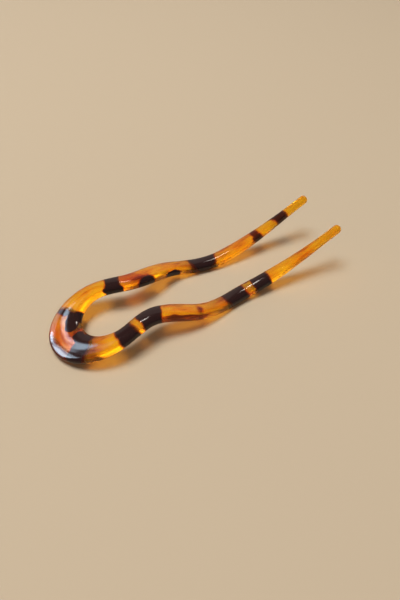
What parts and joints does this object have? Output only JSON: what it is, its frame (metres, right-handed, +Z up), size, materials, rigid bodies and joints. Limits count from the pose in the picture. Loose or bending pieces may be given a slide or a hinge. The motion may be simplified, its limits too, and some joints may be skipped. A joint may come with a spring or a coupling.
{
  "type": "hair fork",
  "caption": "One-piece U-shaped hair fork with a broad crescent head and two long waved prongs that taper to rounded tips, for pinning up a bun or twist.",
  "frame": {"origin": "on the surface that the fork lies on, under the middle of its bounding box", "axes": "+X from the head towards the tips, +Z up from the surface, XZ is the plane that the two prongs mirror each other about"},
  "size_m": [0.1108, 0.0306, 0.0178],
  "materials": {
    "tortoiseshell_acetate": "polished translucent amber with soft-edged dark brown patches that go through the sheet"
  },
  "bodies": {
    "root": {"hair_fork": "tortoiseshell_acetate"}
  },
  "joints": []
}
